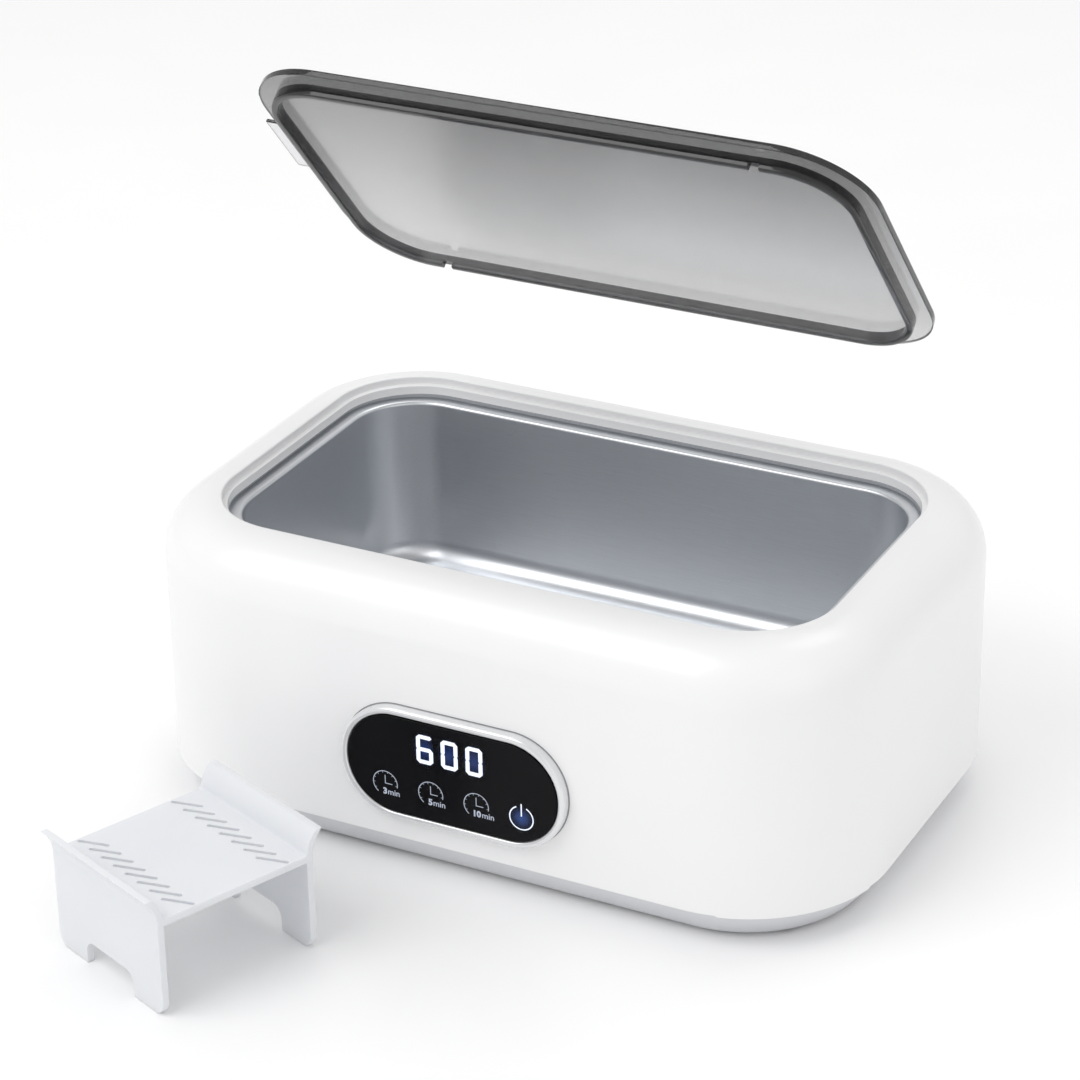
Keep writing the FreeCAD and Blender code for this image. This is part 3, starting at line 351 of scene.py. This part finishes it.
def makeHousing():
    low, high = sizeOf("housing_shell")
    length, width, top, bottom = high.x - low.x, high.y - low.y, high.z, low.z
    bm = bmesh.new()
    face = roundedPlate(bm, length, width, housing["cornerRound"], housing["cornerSteps"], bottom)
    face = extrudeFace(bm, face, (0, 0, top - bottom))
    face, _ = insetFace(bm, face, housing["rimSides"])
    face = extrudeFace(bm, face, (0, 0, -housing["recess"]))
    face, _ = insetFace(bm, face, housing["ledge"])
    face = extrudeFace(bm, face, (0, 0, housing["recess"] - housing["roof"]))
    face = extrudeFace(bm, face, (0, 0, 0))
    inner = (length - 2 * housing["wall"]) / (length - 2 * (housing["rimSides"] + housing["ledge"]))
    neck, drop = housing["neckShare"], housing["neckDrop"]
    bmesh.ops.scale(bm, vec=(inner * neck, inner * neck, 1), verts=face.verts)
    face = extrudeFace(bm, face, (0, 0, -drop))
    bmesh.ops.scale(bm, vec=(1 / neck, 1 / neck, 1), verts=face.verts)
    face = extrudeFace(bm, face, (0, 0, bottom - (top - housing["roof"] - drop)))
    bmesh.ops.delete(bm, geom=[face], context="FACES_ONLY")
    loops = [e for e in bm.edges if e.is_boundary]
    bmesh.ops.bridge_loops(bm, edges=loops)
    bmesh.ops.recalc_face_normals(bm, faces=bm.faces)
    reach = (length / 2 - housing["rimSides"] + 0.1, width / 2 - housing["rimSides"] + 0.1)
    shoulder = sharpOnly(edgesAt(bm, top, *reach, outside=True))
    softenEdges(bm, shoulder, housing["shoulder"], housing["shoulderSteps"])
    softenEdges(bm, sharpOnly(edgesAt(bm, top, *reach)), housing["edge"], 3)
    ledgeLevel = top - housing["recess"]
    ledgeEdge = housing["edge"] * housing["ledgeEdgeShare"]
    softenEdges(bm, sharpOnly(edgesAt(bm, ledgeLevel)), ledgeEdge, 2)
    seam = sharpOnly(edgesAt(bm, bottom, length / 2 - 1, width / 2 - 1, outside=True))
    softenEdges(bm, seam, housing["seamEdge"], 3)
    inletLow, inletHigh = sizeOf("power_inlet")
    middle = (inletLow + inletHigh) / 2
    hole = boxCutter(housing["inletHole"], (middle.x, high.y, middle.z))
    bm = carve(bm, [hole])
    return finishPiece("housingShell", bm, "cleaner", ["whiteAbs"], replaced="housing_shell")


makeHousing()
print("housing made")

tank = {"flangeRound": 25.0, "mouthInset": 6.2, "mouthEdge": 1.0, "floorRound": 6.0, "sheet": 0.8,
        "depth": 50.0, "cornerSteps": 20, "floorSteps": 8}


def makeTank():
    low, high = sizeOf("tank")
    bm = bmesh.new()
    face = roundedPlate(bm, high.x - low.x, high.y - low.y, tank["flangeRound"],
                        tank["cornerSteps"], high.z)
    face, _ = insetFace(bm, face, tank["mouthInset"])
    face = extrudeFace(bm, face, (0, 0, -tank["depth"]))
    floorLevel = high.z - tank["depth"]
    softenEdges(bm, sharpOnly(edgesAt(bm, floorLevel)), tank["floorRound"],
                tank["floorSteps"])
    mouth = sharpOnly(edgesAt(bm, high.z))
    softenEdges(bm, mouth, tank["mouthEdge"], 4)
    piece = finishPiece("tankPan", bm, "cleaner", ["stainless"], replaced="tank",
                        weighted=False)
    wall = piece.modifiers.new("sheet", "SOLIDIFY")
    wall.thickness, wall.offset = tank["sheet"] * mm, -1
    return piece


makeTank()
print("tank made")

bezel = {"width": 2.0, "gap": 0.15, "round": 14.2, "proud": 3.0, "edge": 0.9, "seam": 0.22,
         "seamProud": 0.12, "seamSink": 0.3, "cornerSteps": 24}
frontTurn = Matrix.Rotation(math.radians(90), 4, "X")


def panelCentre():
    low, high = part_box("panel_lens")
    return (low + high) / 2


def onFront(outMm):
    # from a flat drawing to the front face, outMm in front of the housing wall
    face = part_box("housing_shell")[0].y - outMm * mm
    return Matrix.Translation((panelCentre().x, face, panelCentre().z)) @ frontTurn


def makeBezel():
    low, high = sizeOf("front_bezel")
    bm = bmesh.new()
    face = roundedPlate(bm, high.x - low.x, high.z - low.z,
                        bezel["round"] + bezel["gap"] + bezel["width"], bezel["cornerSteps"])
    face, ring = insetFace(bm, face, bezel["width"])
    bmesh.ops.delete(bm, geom=[face], context="FACES_ONLY")
    bmesh.ops.solidify(bm, geom=list(bm.faces), thickness=bezel["proud"])
    bmesh.ops.recalc_face_normals(bm, faces=bm.faces)
    lowest = min(v.co.z for v in bm.verts)
    bmesh.ops.translate(bm, vec=(0, 0, -lowest), verts=bm.verts)
    front = sharpOnly(edgesAt(bm, bezel["proud"]))
    softenEdges(bm, front, bezel["edge"], 5)
    return finishPiece("frontBezel", bm, "cleaner", ["bezel"], onFront(0), "front_bezel")


def makeBezelSeamShade():
    # the gap where the ring meets the housing, as a dark strip that paints the shadow in the gap
    low, high = sizeOf("front_bezel")
    bm = bmesh.new()
    turn = bezel["round"] + bezel["gap"] + bezel["width"] + bezel["seam"]
    roundedPlate(bm, high.x - low.x + 2 * bezel["seam"], high.z - low.z + 2 * bezel["seam"],
                 turn, bezel["cornerSteps"])
    bmesh.ops.solidify(bm, geom=list(bm.faces), thickness=bezel["seamProud"] + bezel["seamSink"])
    bmesh.ops.recalc_face_normals(bm, faces=bm.faces)
    highest = max(v.co.z for v in bm.verts)
    bmesh.ops.translate(bm, vec=(0, 0, bezel["seamProud"] - highest), verts=bm.verts)
    return finishPiece("bezelSeamShade", bm, "cleaner", ["paintedSeamShade"], onFront(0))


makeBezel()
makeBezelSeamShade()

display = {"lensProud": 2.9, "lift": 0.03, "digitPitch": 7.25, "digitWidth": 4.95,
           "digitHeight": 8.5, "bar": 1.18, "gap": 0.34, "rise": 6.75, "centre": -0.19,
           "pointShare": 0.47, "hazeSize": (9.4, 13.2), "text": "600"}
symbols = {"radius": 3.6, "line": 0.22, "drop": -6.25, "places": (-19.6, -6.05, 7.4),
           "labels": ("3", "5", "10"), "powerPlace": 20.6, "powerRadius": 3.4,
           "powerLine": 0.34, "powerSink": 0.3, "powerHaze": (9.4, 9.4),
           "labelDrop": -9.45, "labelSize": 2.5, "labelStart": 0.35, "labelPerDigit": 0.4,
           "labelSpace": 0.18, "numberThicken": 0.11, "wordThicken": 0.025,
           "arcStart": -12, "arcSweep": 245, "ticks": 9, "tickTurn": 27, "tickStart": 5,
           "tickLength": 0.55, "minuteHand": 0.68, "hourHand": 0.58}
segmentBars = {"a": (0, 1, 0), "g": (0, 0, 0), "d": (0, -1, 0), "f": (-1, 0.5, 1),
               "b": (1, 0.5, 1), "e": (-1, -0.5, 1), "c": (1, -0.5, 1)}
digitShapes = {"6": "afgedc", "0": "abcdef"}


def addBar(bm, centre, length, width, upright, chamfer):
    made = bmesh.ops.create_grid(bm, x_segments=1, y_segments=1, size=0.5)["verts"]
    bmesh.ops.scale(bm, vec=(width, length, 1) if upright else (length, width, 1), verts=made)
    bmesh.ops.translate(bm, vec=(centre[0], centre[1], 0), verts=made)
    if chamfer:
        bmesh.ops.bevel(bm, geom=made, offset=chamfer, segments=1, profile=0.5,
                        affect="VERTICES", material=-1)


def makeDigits():
    bm = bmesh.new()
    halfW = (display["digitWidth"] - display["bar"]) / 2
    halfH = (display["digitHeight"] - display["bar"]) / 2
    for place, figure in enumerate(display["text"]):
        x = display["centre"] + (place - 1) * display["digitPitch"]
        for segment in digitShapes[figure]:
            sideways, rise, upright = segmentBars[segment]
            span = (halfH if upright else 2 * halfW) + display["bar"] - 2 * display["gap"]
            addBar(bm, (x + sideways * halfW, display["rise"] + rise * halfH), span,
                   display["bar"], upright, display["bar"] * display["pointShare"])
    return finishPiece("litDigits", bm, "cleaner", ["ledWhite"],
                       onFront(display["lensProud"] + display["lift"]),
                       weighted=False)


def addArc(bm, centre, radius, line, start, sweep, steps=40):
    inner = bm.verts.new((radius - line / 2, 0, 0))
    outer = bm.verts.new((radius + line / 2, 0, 0))
    edge = bm.edges.new((inner, outer))
    bmesh.ops.rotate(bm, cent=(0, 0, 0), verts=[inner, outer],
                     matrix=Matrix.Rotation(math.radians(start), 3, "Z"))
    bmesh.ops.translate(bm, vec=(*centre, 0), verts=[inner, outer])
    bmesh.ops.spin(bm, geom=[inner, outer, edge], cent=(*centre, 0), axis=(0, 0, 1),
                   angle=math.radians(sweep), steps=steps)


def addHand(bm, centre, angle, start, end, line):
    turn = Matrix.Rotation(math.radians(angle), 3, "Z")
    made = bmesh.ops.create_grid(bm, x_segments=1, y_segments=1, size=0.5)["verts"]
    bmesh.ops.scale(bm, vec=(end - start, line, 1), verts=made)
    bmesh.ops.translate(bm, vec=((start + end) / 2, 0, 0), verts=made)
    bmesh.ops.rotate(bm, cent=(0, 0, 0), matrix=turn, verts=made)
    bmesh.ops.translate(bm, vec=(*centre, 0), verts=made)


def makeTimerSymbols():
    bm = bmesh.new()
    radius, line = symbols["radius"], symbols["line"]
    for x in symbols["places"]:
        centre = (x, symbols["drop"])
        addArc(bm, centre, radius, line, symbols["arcStart"], symbols["arcSweep"])
        for tick in range(symbols["ticks"]):
            addHand(bm, centre, tick * symbols["tickTurn"] - symbols["tickStart"],
                    radius - symbols["tickLength"], radius, line * 0.55)
        addHand(bm, centre, 90, 0, radius * symbols["minuteHand"], line)
        addHand(bm, centre, 0, -line / 2, radius * symbols["hourHand"], line)
    return finishPiece("timerSymbols", bm, "cleaner", ["legendPaintedGlow"],
                       onFront(display["lensProud"] + display["lift"]),
                       weighted=False)


def makePowerSymbol():
    bm = bmesh.new()
    centre = (symbols["powerPlace"], symbols["drop"] - symbols["powerSink"])
    radius, line = symbols["powerRadius"], symbols["powerLine"]
    addArc(bm, centre, radius, line, 115, 310, 56)
    addHand(bm, centre, 90, radius * 0.15, radius * 1.25, line)
    return finishPiece("powerSymbol", bm, "cleaner", ["ledWhite"],
                       onFront(display["lensProud"] + display["lift"]),
                       weighted=False)


def textMesh(words, size, thicken):
    curve = bpy.data.curves.new("legend", "FONT")
    curve.body, curve.size, curve.align_x = words, size, "LEFT"
    curve.offset = thicken
    curve.resolution_u = 3
    item = bpy.data.objects.new("legend", curve)
    scene.collection.objects.link(item)
    bpy.context.view_layer.update()
    mesh = bpy.data.meshes.new_from_object(
        item.evaluated_get(bpy.context.evaluated_depsgraph_get()))
    bpy.data.objects.remove(item)
    return mesh


def makeLegends():
    bm = bmesh.new()
    for x, number in zip(symbols["places"], symbols["labels"]):
        start = x - symbols["labelStart"] - symbols["labelPerDigit"] * len(number)
        for words, thicken in ((number, symbols["numberThicken"]), ("min", symbols["wordThicken"])):
            mesh = textMesh(words, symbols["labelSize"], thicken)
            width = max(v.co.x for v in mesh.vertices)
            mesh.transform(Matrix.Translation((start, symbols["labelDrop"], 0)))
            bm.from_mesh(mesh)
            start += width + symbols["labelSpace"]
    return finishPiece("timerLegends", bm, "cleaner", ["legendPaintedGlow"],
                       onFront(display["lensProud"] + display["lift"]),
                       weighted=False)


def makeHaze(name, places, length, height, finish):
    # plates that carry a fade value, 1 in the middle and 0 towards the edge
    bm = bmesh.new()
    layer = bm.verts.layers.float.new("fade")
    for x, y in places:
        made = bmesh.ops.create_grid(bm, x_segments=16, y_segments=16, size=0.5)["verts"]
        for vert in made:
            vert[layer] = max(0.0, 1 - (2 * vert.co.xy.length) ** 2) ** 1.5
        bmesh.ops.scale(bm, vec=(length, height, 1), verts=made)
        bmesh.ops.translate(bm, vec=(x, y, 0), verts=made)
    return finishPiece(name, bm, "cleaner", [finish],
                       onFront(display["lensProud"] + display["lift"] / 3),
                       weighted=False)


makeDigits()
makeTimerSymbols()
makePowerSymbol()
makeLegends()
digitPlaces = [(display["centre"] + step * display["digitPitch"], display["rise"])
               for step in (-1, 0, 1)]
powerPlaces = [(symbols["powerPlace"], symbols["drop"] - symbols["powerSink"])]
makeHaze("digitHaze", digitPlaces, *display["hazeSize"], "ledFaint")
makeHaze("powerHaze", powerPlaces, *symbols["powerHaze"], "ledHaze")
print("panel made")

lid = {"round": 23.6, "sheet": 2.0, "margin": 4.6, "lipWall": 2.0, "lipDepth": 3.3, "edge": 0.5,
       "tabProud": 7.0, "tabRoot": 3.0, "tabLength": 24.0, "tabLift": 0.75, "tabHeight": 1.8,
       "tabPlace": -3.0, "tabSink": 0.4, "notchPlace": 60.0, "length": 176.2,
       "width": 103.2, "tilt": 48.5, "seat": 82.5, "notch": (3, 6, 3), "tabEdge": 0.35,
       "undersideShare": 0.6, "cornerSteps": 20}


def lidMove():
    # the hinge of the frame carries the seated lid to where it is held
    joint = next(j for j in frame["joints"] if j["name"] == "lid_swing")
    pole = Matrix.Translation(Vector(joint["pos_m"]))
    swing = Matrix.Rotation(math.radians(-lid["tilt"]), 4, "X")
    return pole @ swing @ pole.inverted() @ Matrix.Translation((0, 0, lid["seat"] * mm))


def makeLid():
    bm = bmesh.new()
    outline = (lid["length"], lid["width"], lid["round"], lid["cornerSteps"])
    face = roundedPlate(bm, *outline)
    extrudeFace(bm, face, (0, 0, lid["sheet"]))
    under = roundedPlate(bm, *outline)
    bmesh.ops.reverse_faces(bm, faces=[under])
    under, _ = insetFace(bm, under, lid["margin"])
    under, lip = insetFace(bm, under, lid["lipWall"])
    made = bmesh.ops.extrude_face_region(bm, geom=lip)["geom"]
    crest = [item for item in made if isinstance(item, bmesh.types.BMVert)]
    bmesh.ops.translate(bm, vec=(0, 0, -lid["lipDepth"]), verts=crest)
    bmesh.ops.remove_doubles(bm, verts=bm.verts, dist=1e-3)
    bmesh.ops.recalc_face_normals(bm, faces=bm.faces)
    softenEdges(bm, sharpOnly(edgesAt(bm, lid["sheet"])), lid["edge"], 3)
    softenEdges(bm, sharpOnly(edgesAt(bm, -lid["lipDepth"])), lid["edge"], 3)
    outer = edgesAt(bm, 0, lid["length"] / 2 - 1, lid["width"] / 2 - 1, outside=True)
    softenEdges(bm, sharpOnly(outer), lid["edge"] * lid["undersideShare"], 2)
    reach = lid["width"] / 2 - lid["margin"] - lid["lipWall"] / 2
    notches = [boxCutter(lid["notch"], (side * lid["notchPlace"], -side * reach, -lid["lipDepth"]))
               for side in (-1, 1)]
    bm = carve(bm, notches)
    # flat faces take the sheet, the lip and bevels the copy with painted shade, the outer sides the
    # copy with painted light
    for face in bm.faces:
        centre = face.calc_center_median()
        steep = abs(face.normal.z)
        flat = steep > 0.95 and centre.z > -1
        face.material_index = 0 if flat else 1 if centre.z < -0.01 or steep > 0.2 else 2
    edge = -lid["length"] / 2
    top = lid["sheet"] + lid["tabHeight"]
    for start, end, bottom in ((edge, edge + lid["tabRoot"], lid["sheet"] - lid["tabSink"]),
                               (edge - lid["tabProud"], edge + lid["tabRoot"],
                                lid["sheet"] + lid["tabLift"])):
        tab = bmesh.ops.create_cube(bm, size=1.0)["verts"]
        bmesh.ops.scale(bm, vec=(end - start, lid["tabLength"], top - bottom), verts=tab)
        bmesh.ops.translate(bm, verts=tab, vec=((start + end) / 2, lid["tabPlace"],
                                                (top + bottom) / 2))
        for face in {f for v in tab for f in v.link_faces}:
            face.material_index = 3
        softenEdges(bm, list({e for v in tab for e in v.link_edges}), lid["tabEdge"], 3)
    return finishPiece("smokeLid", bm, "lid", ["smokeSheet", "smokeLipPaintedShade", "smokeEdgePaintedLight", "clearTab"],
                       lidMove(), "lid_cover")


makeLid()
print("lid made")

stand = {"width": 48.2, "length": 46.1, "height": 28.2, "wall": 2.0, "rise": 6.6, "flare": 3.2,
         "archLength": 21.0, "archHeight": 7.0, "archRound": 3.4, "slot": (9.0, 1.1),
         "legRound": 4.0, "creaseRound": 2.4, "slotInset": 9.5, "slotPitch": 5.3,
         "slotTurn": 58.0, "slots": 8, "slotEnd": 0.5, "turn": 67.6,
         "corner": (-36.9, -156.0), "edge": 0.35, "bulge": 0.7}


def wingCurve(start, end, bulge, steps=8):
    # points of a shallow arc between two corners of the section
    across = Vector((end[1] - start[1], start[0] - end[0]))
    across.normalize()
    points = []
    for step in range(steps + 1):
        share = step / steps
        lift = bulge * 4 * share * (1 - share)
        points.append((start[0] + (end[0] - start[0]) * share + across.x * lift,
                       start[1] + (end[1] - start[1]) * share + across.y * lift))
    return points


def makeStand():
    w, h, t = stand["width"], stand["height"], stand["wall"]
    rise, flare = stand["rise"], stand["flare"]
    left = [(t, h - t), (t, 0), (0, 0)]
    left += wingCurve((0, h), (-flare, h + rise), stand["bulge"])
    left += wingCurve((t - flare, h + rise), (t, h), -stand["bulge"])
    outline = left + [(w - x, z) for x, z in reversed(left)]
    bm = bmesh.new()
    face = bm.faces.new([bm.verts.new((x, 0, z)) for x, z in outline])
    extrudeFace(bm, face, (0, stand["length"], 0))
    bmesh.ops.holes_fill(bm, edges=[e for e in bm.edges if e.is_boundary])
    bmesh.ops.recalc_face_normals(bm, faces=bm.faces)
    softenEdges(bm, [e for e in bm.edges if all(v.co.z < 0.01 for v in e.verts)
                     and abs(e.verts[0].co.y - e.verts[1].co.y) < 0.01], stand["legRound"], 8)
    softenEdges(bm, [e for e in bm.edges if all(abs(v.co.z - h) < 0.01 for v in e.verts)
                     and all(abs(abs(v.co.x - w / 2) - (w / 2 - t)) < 0.01 for v in e.verts)
                     and abs(e.verts[0].co.y - e.verts[1].co.y) > 1], stand["creaseRound"], 6)
    softenEdges(bm, sharpOnly(list(bm.edges), 50), stand["edge"], 3)
    arch = boxCutter((stand["archLength"], 2 * stand["archHeight"], w + 20), (0, 0, 0),
                     edge=stand["archRound"])
    bmesh.ops.transform(arch, verts=arch.verts,
                        matrix=Matrix.Translation((w / 2, stand["length"] / 2, 0))
                        @ Matrix.Rotation(math.radians(90), 4, "Y")
                        @ Matrix.Rotation(math.radians(90), 4, "Z"))
    cutters = [arch]
    for side in (stand["slotInset"], w - stand["slotInset"]):
        for step in range(stand["slots"]):
            along = stand["length"] / 2 + (step - (stand["slots"] - 1) / 2) * stand["slotPitch"]
            cutters.append(boxCutter((*stand["slot"], 8), (side, along, h - 1),
                                     -stand["slotTurn"], stand["slotEnd"]))
    bm = carve(bm, cutters)
    x, y = stand["corner"]
    move = (Matrix.Translation((x * mm, y * mm, 0))
            @ Matrix.Rotation(math.radians(stand["turn"]), 4, "Z"))
    return finishPiece("watchStand", bm, "stand", ["stand"], move, "watch_stand")


makeStand()
print("stand made")

studio = {"world": 0.77, "key": 5.5, "fill": 0.6, "top": 2.2,
          "keyPlace": (-0.5, -0.7, 1.1), "fillPlace": (0.9, -0.5, 0.5), "topPlace": (0.1, 0.6, 1.2),
          "aim": (0, 0, 0.05), "topAim": (0, 0, 0.08), "floorReach": 3.0}


def makeFloor():
    bm = bmesh.new()
    bmesh.ops.create_grid(bm, x_segments=8, y_segments=8, size=studio["floorReach"])
    mesh = bpy.data.meshes.new("studioFloor")
    bm.to_mesh(mesh)
    bm.free()
    floor = bpy.data.objects.new("studioFloor", mesh)
    scene.collection.objects.link(floor)
    material, tree, shader = newMaterial("paleSweep", {"Roughness": 0.35,
                                                       "Specular IOR Level": 0.3})
    grain = grainTexture(tree, 60, detail=1.0)
    mixColours(tree, shader, grain.outputs["Fac"], "ffffff", "fcfcfc")
    mesh.materials.append(material)


def addLight(name, place, target, size, power):
    data = bpy.data.lights.new(name, "AREA")
    data.shape, data.size, data.size_y, data.energy = "RECTANGLE", size[0], size[1], power
    light = bpy.data.objects.new(name, data)
    light.location = place
    light.rotation_euler = (Vector(target) - Vector(place)).to_track_quat("-Z", "Y").to_euler()
    scene.collection.objects.link(light)


def makeWorld():
    world = bpy.data.worlds.new("paleStudio")
    world.use_nodes = True
    world.node_tree.nodes["Background"].inputs["Color"].default_value = toLinear("ffffff")
    world.node_tree.nodes["Background"].inputs["Strength"].default_value = studio["world"]
    scene.world = world


def makeCamera():
    view = {"azimuth": 27.554, "elevation": 26.516, "roll": -0.935, "distance": 0.9743,
            "lens": 119.29, "target": (-0.01033, 0.0, 0.06865)}
    side, lift = math.radians(view["azimuth"]), math.radians(view["elevation"])
    back = Vector((math.sin(side) * math.cos(lift), -math.cos(side) * math.cos(lift),
                   math.sin(lift)))
    data = bpy.data.cameras.new("productView")
    data.lens, data.sensor_width = view["lens"], 36.0
    camera = bpy.data.objects.new("productView", data)
    turn = back.to_track_quat("Z", "Y").to_matrix().to_4x4()
    roll = Matrix.Rotation(math.radians(view["roll"]), 4, "Z")
    camera.matrix_world = (Matrix.Translation(Vector(view["target"]) + back * view["distance"])
                           @ turn @ roll)
    scene.collection.objects.link(camera)
    scene.camera = camera


makeFloor()
makeWorld()
addLight("keySoftbox", studio["keyPlace"], studio["aim"], (0.9, 0.9), studio["key"])
addLight("fillSoftbox", studio["fillPlace"], studio["aim"], (0.6, 0.8), studio["fill"])
addLight("topSoftbox", studio["topPlace"], studio["topAim"], (0.9, 0.5), studio["top"])
makeCamera()
scene.view_settings.view_transform = "Standard"
print("scene ready")
